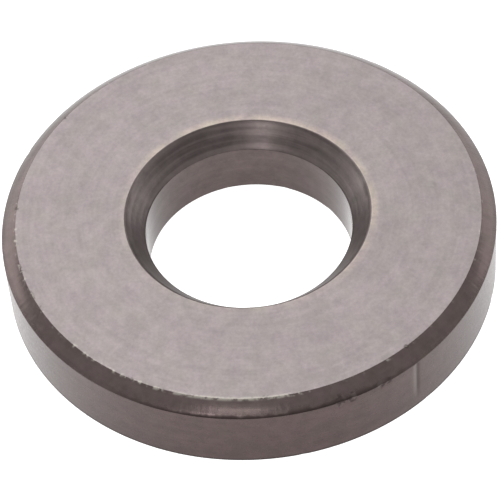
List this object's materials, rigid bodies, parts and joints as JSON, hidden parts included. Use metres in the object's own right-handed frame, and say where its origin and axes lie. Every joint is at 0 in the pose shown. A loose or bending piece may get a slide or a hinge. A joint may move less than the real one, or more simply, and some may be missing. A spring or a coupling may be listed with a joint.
{
  "type": "flat washer",
  "caption": "Thick round flat washer turned from one piece of dark steel, with a plain bolt bore and a chamfer on the rim and at the bore on its upper face.",
  "frame": {"origin": "on the bolt axis, in the plane of the plain lower face that the washer rests on", "axes": "+Z along the bolt axis from the plain lower face to the chamfered upper face; X and Y are equal, because the ring is round"},
  "size_m": [0.025, 0.025, 0.004],
  "materials": {
    "black_oxide_steel": "satin black oxide over turned and hardened steel"
  },
  "bodies": {
    "root": {"flat_washer": "black_oxide_steel"}
  },
  "joints": []
}
